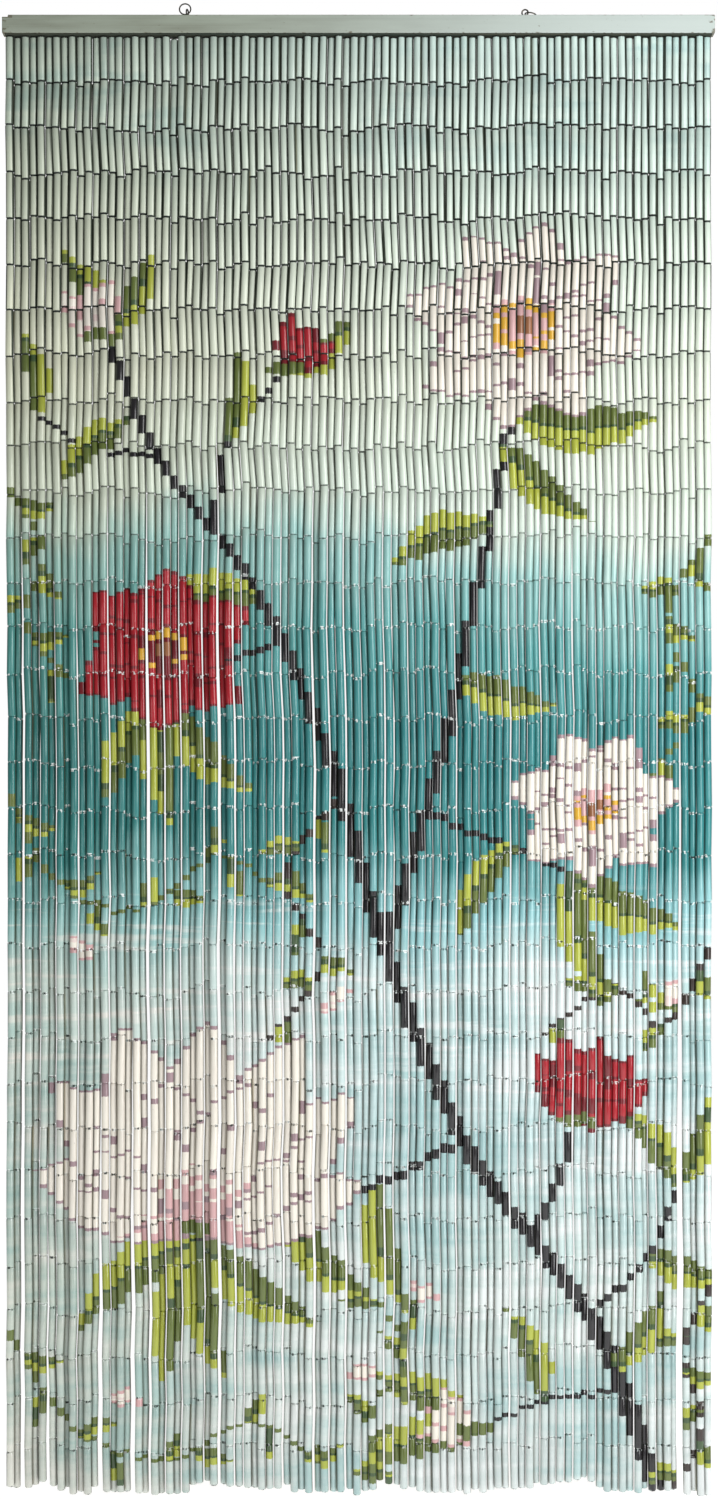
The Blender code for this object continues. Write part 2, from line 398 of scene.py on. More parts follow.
GROUND = 0  # no motif: the sprayed ground shows
CREAM, BLUSH, ROSE, MAUVE = 1, 2, 3, 4
RED, DEEP_RED = 5, 6
BLACK, BARK = 7, 8
LIME, OLIVE, LEAF = 9, 10, 11
POLLEN, SAND = 12, 13
INKS = {
    CREAM: (224, 218, 206),
    BLUSH: (218, 200, 194),
    ROSE: (199, 158, 158),
    MAUVE: (150, 126, 132),
    RED: (156, 18, 32),
    DEEP_RED: (106, 10, 24),
    BLACK: (18, 16, 20),
    BARK: (48, 38, 34),
    LIME: (160, 168, 60),
    OLIVE: (92, 106, 48),
    LEAF: (54, 78, 44),
    POLLEN: (206, 160, 48),
    SAND: (140, 92, 60),
}
INK_ROOM = 16.0  # an ink's place on its ramp is its number over this
PAINT_STEP = 0.001
PAINT_ROWS = 1925
MOST_INKS = 6  # on one tube
NO_CUT = -10.0  # far below the curtain
VEIN = 0.0026
RIM = 0.0034
CURVE_STEPS = 8  # straight pieces from one point of a curve to the next
NARROW = 0.62  # a stroke is this much wider across the strands, so that a thin one meets a tube

paint_z = -RAIL_HEIGHT - PAINT_STEP * (np.arange(PAINT_ROWS) + 0.5)
slip = np.random.default_rng(5).normal(size=STRANDS).clip(-2, 2) * 0.0030
paint_x = np.broadcast_to(across, (PAINT_ROWS, STRANDS))
paint_height = paint_z[:, None] + slip
painting = np.full((PAINT_ROWS, STRANDS), GROUND)


def smooth_line(points):
    """A curve through the points. Each span is a cubic whose slope at an end is half the step
    between that end's neighbours."""
    points = np.array(points, float)
    padded = np.vstack((2 * points[0] - points[1], points, 2 * points[-1] - points[-2]))
    t = np.linspace(0.0, 1.0, CURVE_STEPS, endpoint=False)[:, None]
    spans = []
    for before, here, there, after in zip(padded, padded[1:], padded[2:], padded[3:]):
        bend = 2 * before - 5 * here + 4 * there - after
        turn = 3 * (here - there) + after - before
        spans.append(0.5 * (2 * here + (there - before) * t + bend * t**2 + turn * t**3))
    return np.vstack((*spans, points[-1:]))


def stroke(points, start, end, ink):
    """A brush stroke along a curve. A spot is painted when its distance from the nearest span of the
    curve is under half the width, which goes from start to end."""
    line = smooth_line(points)
    span = len(line) - 1
    for k, (here, there) in enumerate(zip(line, line[1:])):
        low = min(here[1], there[1]) - start - end
        high = max(here[1], there[1]) + start + end
        rows = (paint_z > low - 0.01) & (paint_z < high + 0.01)
        if not rows.any():
            continue
        x, z = paint_x[rows] - here[0], paint_height[rows] - here[1]
        dx, dz = there - here
        along = ((x * dx + z * dz) / (dx * dx + dz * dz)).clip(0.0, 1.0)
        distance = np.hypot((x - along * dx) * NARROW, z - along * dz)
        share = (k + along) / span
        width = start + (end - start) * share
        painting[rows] = np.where(distance < width / 2, ink, painting[rows])


def petal(base, lean, length, width, inks, plump=0.62):
    """One petal from its base. With u the share of its length, it is painted where the distance from
    its middle line is under half its width times a sine of u to the power plump. inks are for the
    body, the shade near the base, the middle line and the rim."""
    body, shade, vein, edge = inks
    x, z = paint_x - base[0], paint_height - base[1]
    along = x * math.sin(lean) + z * math.cos(lean)
    beside = x * math.cos(lean) - z * math.sin(lean)
    u = (along / length).clip(0.0, 1.0)
    half = width / 2 * np.sin(np.pi * u ** (1.0 / (0.35 + plump))) ** 0.8
    inside = (along > 0) & (along < length) & (np.abs(beside) < half)
    depth = np.minimum(half - np.abs(beside), (length - along) * 0.6)
    painting[inside] = body
    painting[inside & (u < 0.30 + 0.10 * np.sin(beside * 900.0))] = shade
    painting[inside & (np.abs(beside) < VEIN / 2) & (u < 0.72)] = vein
    painting[inside & (depth < RIM)] = edge


def leaf(base, lean, length, width):
    """A pointed leaf: light on one side of its rib and dark on the other, half its width times a
    sine of the share of its length. Its rib bends aside by half a sine of the same share."""
    x, z = paint_x - base[0], paint_height - base[1]
    along = x * math.sin(lean) + z * math.cos(lean)
    u = (along / length).clip(0.0, 1.0)
    beside = x * math.cos(lean) - z * math.sin(lean) - 0.10 * length * np.sin(np.pi * u)
    half = width / 2 * np.sin(np.pi * u**0.8) ** 0.9 + 0.001
    aside = np.abs(beside * (0.75 + 0.25 * abs(math.cos(lean))))
    inside = (along > 0) & (along < length) & (aside < half)
    painting[inside] = np.where(beside[inside] > 0, LIME, OLIVE)
    painting[inside & (np.abs(beside) < 0.0016 + 0.003 * (0.4 - u).clip(0.0)) & (u < 0.9)] = LEAF


def tendril(points, leaflets, ink):
    """A thin twining stem, with small leaves set to its left and right in turn."""
    stroke(points, 0.0055, 0.0035, ink)
    line = smooth_line(points)
    for k, spot in enumerate(np.linspace(2, len(line) - 3, leaflets).astype(int)):
        across_step, up_step = line[spot + 1] - line[spot]
        aside = 0.9 if k % 2 else -0.9
        leaf(line[spot], math.atan2(across_step, up_step) + aside, 0.048, 0.017)


WHITE_PETAL = (CREAM, ROSE, MAUVE, MAUVE)
PALE_PETAL = (CREAM, CREAM, BLUSH, ROSE)
RED_PETAL = (RED, DEEP_RED, DEEP_RED, DEEP_RED)


def open_bloom(centre, radius, petals, turn, inks, heart, flat=0.86):
    """A flower seen from the front: two rounds of petals, then a ring of pollen spots."""
    for ring, (reach, shift) in enumerate(((1.0, 0.0), (0.72, math.pi / petals))):
        for k in range(petals):
            lean = turn + shift + 2 * math.pi * k / petals
            squash = math.hypot(math.sin(lean), math.cos(lean) * flat)
            petal(centre, lean, radius * reach * squash, radius * reach * 3.9 / petals, inks)
    x, z = paint_x - centre[0], (paint_height - centre[1]) / flat
    distance = np.hypot(x, z)
    painting[distance < radius * 0.20] = heart
    spots = (distance < radius * 0.26) & (distance > radius * 0.14)
    painting[spots & (np.sin(np.arctan2(z, x) * 14.0) > 0.1)] = POLLEN
    painting[distance < radius * 0.09] = SAND


def cup_bloom(base, height, leans, inks, lean=0.0):
    """A flower seen from the side: long petals fan out from a dark base, the outer ones first."""
    for share, reach, width in leans:
        petal(base, lean + share, height * reach, height * width, inks, plump=0.70)
    stroke([(base[0] - 0.012, base[1] + 0.006), (base[0] + 0.012, base[1] + 0.006)], 0.016, 0.016, OLIVE)


# branches, from thick to thin
stroke([(0.40, -1.96), (0.31, -1.72), (0.14, -1.48), (0.03, -1.22), (-0.04, -0.97)], 0.016, 0.011, BLACK)
stroke([(-0.04, -0.97), (-0.13, -0.76), (-0.26, -0.58), (-0.33, -0.42)], 0.011, 0.006, BLACK)
stroke([(0.03, -1.22), (0.10, -0.98), (0.15, -0.76), (0.20, -0.52)], 0.011, 0.006, BLACK)
stroke([(0.13, -1.47), (0.02, -1.53), (-0.10, -1.56), (-0.21, -1.60)], 0.010, 0.007, BLACK)
stroke([(-0.10, -0.82), (-0.18, -0.85), (-0.25, -0.90)], 0.008, 0.005, BLACK)
stroke([(0.08, -1.04), (0.18, -1.08), (0.27, -1.12)], 0.009, 0.005, BLACK)
stroke([(0.22, -1.60), (0.26, -1.52), (0.28, -1.44)], 0.008, 0.005, BLACK)
stroke([(-0.26, -0.58), (-0.36, -0.56), (-0.42, -0.52)], 0.006, 0.004, BLACK)
stroke([(-0.19, -0.68), (-0.17, -0.56), (-0.10, -0.47)], 0.006, 0.004, BLACK)
stroke([(0.30, -1.70), (0.38, -1.62), (0.42, -1.53)], 0.007, 0.004, BLACK)
stroke([(0.345, -1.80), (0.24, -1.81), (0.15, -1.85)], 0.007, 0.004, BLACK)

# tendrils
tendril([(-0.46, -1.72), (-0.38, -1.84), (-0.26, -1.89), (-0.14, -1.84), (-0.05, -1.90)], 9, OLIVE)
tendril([(-0.46, -1.02), (-0.40, -1.13), (-0.29, -1.17), (-0.19, -1.10), (-0.10, -1.15)], 9, OLIVE)
tendril([(0.46, -0.68), (0.40, -0.79), (0.44, -0.90), (0.38, -1.00)], 7, OLIVE)
tendril([(0.46, -1.22), (0.40, -1.32), (0.33, -1.27), (0.24, -1.33)], 7, BARK)
tendril([(-0.03, -1.02), (-0.10, -1.13), (-0.05, -1.24), (-0.12, -1.34)], 7, BARK)
tendril([(0.05, -1.94), (0.01, -1.84), (0.06, -1.75), (0.00, -1.66)], 7, OLIVE)
tendril([(0.46, -1.66), (0.42, -1.75), (0.45, -1.84), (0.41, -1.93)], 6, BARK)
tendril([(-0.46, -0.62), (-0.41, -0.70), (-0.44, -0.79), (-0.38, -0.87)], 6, OLIVE)

# leaves: base x, base z, lean, length, width
LEAVES = (
    (0.19, -0.56, 2.3, 0.15, 0.042),
    (0.17, -0.66, -2.0, 0.14, 0.040),
    (0.20, -0.52, 1.6, 0.19, 0.046),
    (0.13, -0.86, 1.9, 0.13, 0.038),
    (-0.13, -0.76, -1.7, 0.15, 0.040),
    (-0.26, -0.90, -2.6, 0.15, 0.042),
    (-0.25, -0.90, 2.4, 0.16, 0.044),
    (-0.25, -0.90, 3.1, 0.17, 0.042),
    (-0.33, -0.42, -0.5, 0.13, 0.034),
    (-0.33, -0.42, 0.5, 0.12, 0.034),
    (-0.42, -0.52, -0.2, 0.11, 0.030),
    (-0.10, -0.47, 0.9, 0.12, 0.034),
    (-0.30, -0.53, -2.3, 0.12, 0.034),
    (-0.17, -0.56, 0.1, 0.12, 0.032),
    (0.27, -1.12, 2.0, 0.17, 0.046),
    (0.27, -1.12, 2.8, 0.18, 0.044),
    (0.20, -1.08, -2.6, 0.14, 0.038),
    (0.02, -1.53, 2.9, 0.17, 0.044),
    (-0.10, -1.56, 2.4, 0.16, 0.044),
    (-0.21, -1.60, 2.2, 0.19, 0.050),
    (-0.21, -1.60, -2.2, 0.20, 0.050),
    (-0.21, -1.60, -2.9, 0.20, 0.046),
    (-0.21, -1.60, 2.95, 0.19, 0.046),
    (0.42, -1.53, 0.3, 0.12, 0.034),
    (0.42, -1.53, -0.7, 0.13, 0.034),
    (0.38, -1.62, 1.9, 0.10, 0.032),
    (0.15, -1.85, -1.9, 0.16, 0.040),
    (0.15, -1.85, -1.1, 0.15, 0.038),
    (0.24, -1.81, -0.4, 0.13, 0.036),
    (0.33, -1.77, 0.6, 0.13, 0.036),
)
for x, z, lean, length, width in LEAVES:
    leaf((x, z), lean, length, width)

FAN = (
    (-1.25, 0.78, 0.34),
    (1.25, 0.78, 0.34),
    (-0.82, 0.94, 0.40),
    (0.82, 0.94, 0.40),
    (-0.42, 1.0, 0.40),
    (0.45, 1.0, 0.40),
    (0.0, 0.96, 0.42),
    (-0.98, 0.58, 0.30),
    (0.98, 0.58, 0.30),
    (-0.25, 0.70, 0.36),
    (0.28, 0.70, 0.36),
)
open_bloom((0.215, -0.405), 0.160, 8, 0.2, WHITE_PETAL, ROSE)
cup_bloom((-0.215, -1.590), 0.290, FAN, WHITE_PETAL, 0.05)
open_bloom((0.305, -1.035), 0.120, 7, 0.5, WHITE_PETAL, ROSE)
open_bloom((-0.255, -0.830), 0.125, 6, 0.1, RED_PETAL, DEEP_RED)
cup_bloom((0.285, -1.450), 0.120, FAN[2:9], RED_PETAL, 0.25)
cup_bloom((-0.335, -0.425), 0.085, FAN[4:7], PALE_PETAL, -0.3)
cup_bloom((-0.095, -0.470), 0.080, FAN[4:7], RED_PETAL, 0.5)
cup_bloom((0.150, -1.850), 0.075, FAN[4:7], PALE_PETAL, -1.2)

FALLEN_PETALS = (  # base x, base z, lean
    (-0.05, -1.30, 0.9),
    (0.06, -1.66, 2.0),
    (-0.38, -1.20, 2.4),
    (-0.02, -1.78, 1.3),
    (0.40, -1.30, 0.4),
    (-0.33, -1.80, 1.9),
)
for x, z, lean in FALLEN_PETALS:
    petal((x, z), lean, 0.045, 0.022, PALE_PETAL)


def bands(column):
    """The runs of one colour down a tube's stretch of the painting: up to five cuts and six inks.
    The shortest runs go first where there are more."""
    starts = np.flatnonzero(np.diff(column)) + 1
    edges = [0, *starts, len(column)]
    inks = [column[k] for k in edges[:-1]]
    while len(inks) > MOST_INKS:
        short = int(np.argmin(np.diff(edges)))
        gone = short if short else 1
        del edges[gone]
        del inks[short]
        k = 1
        while k < len(inks):
            if inks[k] == inks[k - 1]:
                del inks[k], edges[k]
            else:
                k += 1
    return edges[1:-1], inks


# Tubes: short lengths of thin bamboo, cut square and rounded at both ends, with an open bore. Paint
# covers the front of each; the sides carry a dark skin colour as painted shade between neighbouring
# tubes, and the back is bare straw-coloured bamboo.

BEAD_SIDES = 10
BEAD_WIDTH = 0.0108
STRAND_WIDTH_SPREAD = 0.00006
BEAD_WIDTH_SPREAD = 0.00004
THINNER = 0.0005  # the thickest tubes are strung at the top
THIN_FROM = 1.0  # in fifths of the drop
THIN_RATE = 5.0
JOINT_GAP_HIGH = 0.00055
JOINT_GAP_LOW = 0.00014
JOINT_GAP_SPREAD = 0.00010
BORE_DEPTH = 0.004
SHOULDER = 0.0010
BEAD_RADII = (0.38, 0.42, 0.86, 1.0, 1.0, 0.86, 0.42, 0.38)
BEAD_RINGS = len(BEAD_RADII)
BEAD_INSETS = (BORE_DEPTH, 0.0, 0.0, SHOULDER)
SMOOTH_RINGS = (2, 3, 4)  # the outer skin is shaded round, from shoulder to shoulder
BAND_SHARES = (0.05, 0.09, 0.11, 0.13, 0.87, 0.89, 0.91, 0.95)  # heights on the map for the bake
GROUPS = (("bead_strands_left", 0, 30), ("bead_strands_middle", 30, 60), ("bead_strands_right", 60, 90))
FLANK_SHADE = (50, 58, 46)
BACK = (164, 146, 100)
BACK_PALE = (200, 184, 140)
BORE_SHADE = (44, 34, 22)
JOINT_SHADE = (30, 40, 36)
SPECK = (232, 238, 236)
SPRAY = (  # share of the drop, colour
    (0.00, (194, 214, 206)),
    (0.10, (202, 216, 203)),
    (0.22, (208, 216, 200)),
    (0.315, (200, 214, 202)),
    (0.35, (142, 185, 181)),
    (0.40, (82, 149, 148)),
    (0.48, (46, 122, 124)),
    (0.56, (52, 128, 129)),
    (0.605, (134, 184, 187)),
    (0.65, (192, 211, 210)),
    (0.76, (176, 198, 198)),
    (0.86, (186, 202, 198)),
    (1.00, (192, 202, 200)),
)
MIST = (216, 220, 219)
SMEAR = (132, 174, 174)
WARM_LEFT_SHADE = (246, 240, 230)


def bead_draws():
    """Each tube's own width, turn of the facets, turn of the paint, taper and three tones, and the gap
    at each joint."""
    rng = np.random.default_rng(23)
    width = BEAD_WIDTH + STRAND_WIDTH_SPREAD * rng.normal(size=STRANDS).clip(-1.2, 1.2)
    width = width + BEAD_WIDTH_SPREAD * rng.normal(size=(BEADS, STRANDS)).clip(-1.6, 1.6)
    width -= THINNER * smooth_step(np.arange(BEADS)[:, None] / BEADS * THIN_RATE - THIN_FROM)
    facet = rng.uniform(-0.2, 0.2, (BEADS, STRANDS))
    turn = 0.16 * rng.normal(size=(BEADS, STRANDS)).clip(-2, 2)
    taper = 1.0 + 0.012 * rng.uniform(-1.0, 1.0, (BEADS, STRANDS))
    tones = rng.uniform(0.0, 1.0, (3, BEADS, STRANDS))
    tones[0] = 0.5 * tones[0] + 0.5 * rng.uniform(0.0, 1.0, STRANDS)
    share = np.arange(BEADS + 1)[:, None] / BEADS
    gap = JOINT_GAP_HIGH + (JOINT_GAP_LOW - JOINT_GAP_HIGH) * smooth_step(share * 2.5 - 0.3)
    gap = gap + JOINT_GAP_SPREAD * rng.normal(size=(BEADS + 1, STRANDS)).clip(-1.2, 2.0)
    return width, facet, turn, taper, tones, gap


bead_width, bead_facet, bead_turn, bead_taper, bead_tones, joint_gap = bead_draws()


def painted_bands():
    """For each tube, five heights and six inks of its front, from the top down."""
    cuts = np.full((BEADS, STRANDS, MOST_INKS - 1), NO_CUT)
    inks = np.zeros((BEADS, STRANDS, MOST_INKS))
    rows = ((-RAIL_HEIGHT - joints[:, :, 2]) / PAINT_STEP).astype(int).clip(0, PAINT_ROWS - 1)
    for bead in range(BEADS):
        for strand in range(STRANDS):
            first, last = rows[bead, strand], rows[bead + 1, strand] + 1
            edges, found = bands(painting[first:last, strand])
            cuts[bead, strand, : len(edges)] = -RAIL_HEIGHT - PAINT_STEP * (first + np.array(edges))
            inks[bead, strand] = found[-1]
            inks[bead, strand, : len(found)] = found
    return cuts, inks


paint_cuts, paint_inks = painted_bands()


def spread(values, copies):
    """One value for each tube, repeated for each of its vertices."""
    return np.repeat(values.reshape(-1, *values.shape[2:]), copies, axis=0)


def give_attribute(mesh, name, values):
    """Three numbers at each vertex, which the finish reads by this name."""
    field = mesh.attributes.new(name, "FLOAT_VECTOR", "POINT")
    field.data.foreach_set("vector", np.ascontiguousarray(values, np.float32).ravel())


def closed_tube(rings, sides, turned=False):
    """The faces of a tube with a cap at each end, as their corners in a row and each face's number of
    corners: quads from one ring of points to the next, then the caps. A turned one has rings that
    run the other way round."""
    ring, side = np.meshgrid(np.arange(rings - 1), np.arange(sides), indexing="ij")
    after = (side + 1) % sides
    here, there = ring * sides, (ring + 1) * sides
    quads = np.stack((here + side, here + after, there + after, there + side), axis=2)
    caps = np.array((np.arange(sides)[::-1], (rings - 1) * sides + np.arange(sides)))
    if turned:
        quads = np.roll(quads[..., ::-1], 1, axis=2)
        caps = caps[:, ::-1]
    return np.concatenate((quads.ravel(), caps.ravel())), np.array([4] * ring.size + [sides] * 2)


def many_shells(name, points, corners, sizes, smooth):
    """Shells with the same faces as one object. points is an array of shell, point and x, y, z."""
    count, size = points.shape[:2]
    all_corners = (corners + size * np.arange(count)[:, None]).ravel()
    all_sizes = np.tile(sizes, count)
    starts = np.concatenate(([0], np.cumsum(all_sizes)[:-1]))
    mesh = bpy.data.meshes.new(name)
    mesh.vertices.add(count * size)
    mesh.vertices.foreach_set("co", points.reshape(-1).astype(np.float32))
    mesh.loops.add(len(all_corners))
    mesh.loops.foreach_set("vertex_index", all_corners.astype(np.int32))
    mesh.polygons.add(len(all_sizes))
    mesh.polygons.foreach_set("loop_start", starts.astype(np.int32))
    mesh.polygons.foreach_set("use_smooth", np.tile(smooth, count))
    mesh.update(calc_edges=True)
    mesh.validate()
    thing = bpy.data.objects.new(name, mesh)
    bpy.context.scene.collection.objects.link(thing)
    return thing


def bead_group(name, first, last):
    """Tubes of some strands as one mesh.

    A tube is eight rings about the line from one joint to the next: bore, mouth, rim and shoulder at
    the top and the same again below. A ring's points lie at its radius times the cosine and sine of
    equal angles, which start at the back. Its front share is the cosine of the angle from the front.
    """
    picked = slice(first, last)
    top, low = joints[:-1, picked], joints[1:, picked]
    line = low - top
    length = np.linalg.norm(line, axis=2, keepdims=True)
    aim = line / length
    above, below = joint_gap[:-1, picked, None] / 2, joint_gap[1:, picked, None] / 2
    top, low = top + aim * above, low - aim * below
    length = length - above - below
    insets = np.array(BEAD_INSETS)
    upper = np.broadcast_to(insets, (*length.shape[:2], 4))
    from_top = np.concatenate((upper, length - insets[::-1]), axis=2)
    centre = top[:, :, None] + aim[:, :, None] * from_top[..., None]
    radii = np.array(BEAD_RADII) * (bead_width[:, picked, None] / 2)
    radii[:, :, :4] *= bead_taper[:, picked, None]
    radii[:, :, 4:] *= 2.0 - bead_taper[:, picked, None]
    angle = math.pi / 2 + 2 * math.pi * np.arange(BEAD_SIDES) / BEAD_SIDES + bead_facet[:, picked, None]
    circle = np.stack((np.cos(angle), np.sin(angle), np.zeros_like(angle)), axis=3)
    points = centre[:, :, :, None] + radii[..., None, None] * circle[:, :, None]
    count = points.shape[0] * points.shape[1]
    size = BEAD_RINGS * BEAD_SIDES

    corners, sizes = closed_tube(BEAD_RINGS, BEAD_SIDES, turned=True)
    ring, side = np.meshgrid(np.arange(BEAD_RINGS - 1), np.arange(BEAD_SIDES), indexing="ij")
    smooth = np.append(np.isin(ring.ravel(), SMOOTH_RINGS), (False, False))
    group = many_shells(name, points.reshape(count, size, 3), corners, sizes, smooth)
    mesh = group.data

    # the map for the bake: a column for each strand, a band of it for each tube
    u = np.stack((side, side, side + 1, side + 1), axis=2).reshape(-1) / BEAD_SIDES
    shares = np.array(BAND_SHARES)
    v = np.stack((shares[ring], shares[ring + 1], shares[ring + 1], shares[ring]), axis=2).reshape(-1)
    disc = 2 * math.pi * np.arange(BEAD_SIDES) / BEAD_SIDES
    u = np.concatenate((u, 0.5 + 0.3 * np.cos(disc), 0.5 + 0.3 * np.cos(disc[::-1])))
    v = np.concatenate((v, 0.02 + 0.015 * np.sin(disc), 0.98 + 0.015 * np.sin(disc[::-1])))
    bead, strand = np.meshgrid(np.arange(BEADS), np.arange(last - first), indexing="ij")
    u = (strand.reshape(-1, 1) + 0.03 + 0.94 * u) / (last - first)
    v = 1.0 - (bead.reshape(-1, 1) + v) / BEADS
    layer = mesh.uv_layers.new(name="OFBake")
    layer.data.foreach_set("uv", np.stack((u, v), axis=2).astype(np.float32).ravel())

    front = -np.sin(angle - bead_turn[:, picked, None])
    facing = np.broadcast_to(front[:, :, None], (*front.shape[:2], BEAD_RINGS, BEAD_SIDES))
    in_bore = np.isin(np.arange(BEAD_RINGS), (0, BEAD_RINGS - 1))
    downward = np.where(in_bore, -BORE_DEPTH, from_top)
    upward = np.where(in_bore, -BORE_DEPTH, length - from_top)
    reach = np.stack(np.broadcast_arrays(facing, downward[..., None], upward[..., None]), axis=4)
    cuts, inks = paint_cuts[:, picked], paint_inks[:, picked]
    steps = np.diff(inks, axis=2)
    last_cuts = np.concatenate((cuts[:, :, 3:], inks[:, :, :1]), axis=2)
    last_steps = np.pad(steps[:, :, 3:], ((0, 0), (0, 0), (0, 1)))
    give_attribute(mesh, "bead_place", reach)
    give_attribute(mesh, "bead_tone", spread(np.moveaxis(bead_tones[:, :, picked], 0, 2), size))
    give_attribute(mesh, "cuts_upper", spread(cuts[:, :, :3], size))
    give_attribute(mesh, "cuts_lower", spread(last_cuts, size))
    give_attribute(mesh, "steps_upper", spread(steps[:, :, :3], size))
    give_attribute(mesh, "steps_lower", spread(last_steps, size))
    return group


def sprayed_ground(bead, place, x, z, tone, second):
    """The ground's colour: sage, teal and mist by the share of the drop, which clouds of noise shift.
    Smears lie over it near the top and the foot, mist drifts over the lower half, and the left is
    a little warmer and darker, a painted shade on the side away from the lamp."""
    cloud = bead.noise(place, (7.0, 1.0, 5.0), 3.0, 0.6)
    later = 0.035 * x.rise(-0.05, 0.38) * z.rise(-1.05, -0.75)
    down = (z + RAIL_HEIGHT) / (LOWEST_END + RAIL_HEIGHT)
    down = down + (cloud - 0.5) * 0.12 + (tone - 0.5) * 0.012 - later
    ground = bead.ramp(down, [(share, colour(*shade)) for share, shade in SPRAY])
    drift = bead.noise(place, (5.0, 1.0, 60.0), 3.0, 0.6)
    patch = bead.noise(place, (5.0, 1.0, 7.0), 3.0, 0.65) + (drift - 0.5) * 0.35 + (second - 0.5) * 0.05
    ends_of_drop = z.rise(-0.30, -0.10) * 0.7 + (1.0 - z.rise(-1.36, -1.18))
    smeared = ends_of_drop * (1.0 - patch.rise(0.34, 0.52)) * 0.65
    ground = bead.mixed(smeared, ground, colour(*SMEAR))
    low_mist = patch.rise(0.50, 0.62) * 0.7 * (1.0 - z.rise(-1.30, -1.20))
    drifting = drift.rise(0.52, 0.66) * 0.6 * z.rise(-1.60, -1.25) * (1.0 - z.rise(-1.20, -1.12))
    ground = bead.mixed(low_mist + drifting, ground, colour(*MIST))
    # painted shade: the left is multiplied darker and warmer, away from the lamp
    return bead.mixed(1.0 - x.rise(-0.50, 0.10), ground, colour(*WARM_LEFT_SHADE), "MULTIPLY")


def bead_finish():
    """Bamboo skin with paint on the front.

    The ink number at a height is the first ink plus each step whose cut lies above it, and a ramp of
    flat stops turns it into a colour. Where it is 0 the sprayed ground shows. Streaks of fibre run
    along the tube under all of it, and the paint has chipped at the joints. Painted shade darkens the
    flanks, the joints and the bores, and painted light makes the tops at the right palest.
    """
    bead = Finish("painted_bamboo")
    place = bead.place()
    x, _, z = bead.parts(place)

    def field(name):
        return bead.parts(bead.add("ShaderNodeAttribute", {"attribute_name": name}, {}, "Vector"))

    def near_ends(start, end):
        """1 at both ends of a tube as far as start, and 0 from end on."""
        return 1.0 - from_top.rise(start, end) * from_low.rise(start, end)

    facing, from_top, from_low = field("bead_place")
    tone, second, third = field("bead_tone")
    cut1, cut2, cut3 = field("cuts_upper")
    cut4, cut5, first_ink = field("cuts_lower")
    step1, step2, step3 = field("steps_upper")
    step4, step5, _ = field("steps_lower")

    fibre = bead.noise(place, (620.0, 620.0, 9.0), 3.0, 0.6)
    brush = bead.noise(place, (900.0, 900.0, 320.0), 2.0)
    edge = z + (brush - 0.5) * 0.0035
    ink = first_ink
    for cut, step in ((cut1, step1), (cut2, step2), (cut3, step3), (cut4, step4), (cut5, step5)):
        ink = ink + (edge < cut) * step
    stops = [(0.0, colour(0, 0, 0))]
    stops += [(number / INK_ROOM - 0.004, colour(*INKS[number])) for number in sorted(INKS)]
    motif = bead.ramp(ink / INK_ROOM, stops, "CONSTANT")
    ground = sprayed_ground(bead, place, x, z, tone, second)
    paint = bead.mixed(ink > 0.5, ground, motif)

    # each tube's own tone, then painted shade that darkens it towards its flanks, and painted light that
    # makes the tops at the right palest
    light = 0.84 + 0.20 * tone + 0.16 * (fibre - 0.5)
    light = light * (0.62 + 0.38 * facing.rise(0.15, 0.60))
    light = light * (1.0 + 0.40 * x.rise(-0.25, 0.35) * z.rise(-0.068, -0.030))
    shade = bead.add("ShaderNodeCombineColor", {}, {0: light, 1: light, 2: light})
    paint = bead.mixed(1.0, paint, shade, "MULTIPLY")

    # bare skin shows behind and where the paint has chipped. At the flanks the skin is dark, a painted
    # shade between neighbouring tubes, and higher up the paint leaves more of the flanks and the joint
    # ends bare, so this painted shade reaches further near the rail
    skin = bead.mixed((fibre + 0.4 * (third - 0.5)).rise(0.30, 0.75), colour(*BACK), colour(*BACK_PALE))
    skin = bead.mixed(facing.rise(-0.60, -0.15), skin, colour(*FLANK_SHADE))
    wobble = (fibre - 0.5) * 0.22 + (second - 0.5) * 0.10
    high = z.rise(-0.62, -0.28)
    covered = (facing + wobble - 0.20 - 0.42 * high).rise(-0.06, 0.10)
    chipped = (brush + near_ends(0.0006, 0.0016) * (0.10 + 0.30 * high)).rise(0.74, 0.80)
    covered = covered * (1.0 - chipped * 0.85)
    base = bead.mixed(covered, skin, paint)

    # painted shade at the joints: the cut ends are dark higher up, and dark spots on the front stand for
    # shadowed bores, mostly lower down; near-white flecks lie on the front of the joints lower down
    cut = near_ends(0.0006, 0.0013)
    spots = bead.noise(place, (330.0, 330.0, 40.0), 1.0).rise(0.55, 0.60) * facing.rise(0.40, 0.70)
    base = bead.mixed(cut * (z.rise(-0.90, -0.30) * 0.92 + spots * 0.3), base, colour(*JOINT_SHADE))
    spots = near_ends(0.0010, 0.0019) * spots * (1.0 - z.rise(-1.15, -0.85)) * 0.9
    base = bead.mixed(spots, base, colour(*JOINT_SHADE))
    pale_fleck = bead.noise(place, (300.0, 300.0, 110.0), 1.0).rise(0.56, 0.60)
    pale_fleck = pale_fleck * near_ends(0.0014, 0.0024) * facing.rise(0.2, 0.5)
    pale_fleck = pale_fleck * (1.0 - z.rise(-0.80, -0.62)) * (0.45 + 0.40 * z.rise(-1.55, -1.20))
    base = bead.mixed(pale_fleck, base, colour(*SPECK))
    # painted shade: the inside of each bore is painted dark
    base = bead.mixed(near_ends(-0.0015, 0.0001), base, colour(*BORE_SHADE))

    height = fibre * 0.7 + covered * 0.5
    bead.wear(
        Base_Color=base,
        Roughness=0.24 + 0.14 * high + 0.28 * (1.0 - covered) + 0.14 * (fibre - 0.5),
        Normal=bead.bump(height, 0.00025, 0.7),
    )
    bead.surface.inputs["Specular IOR Level"].default_value = 0.6
    return bead


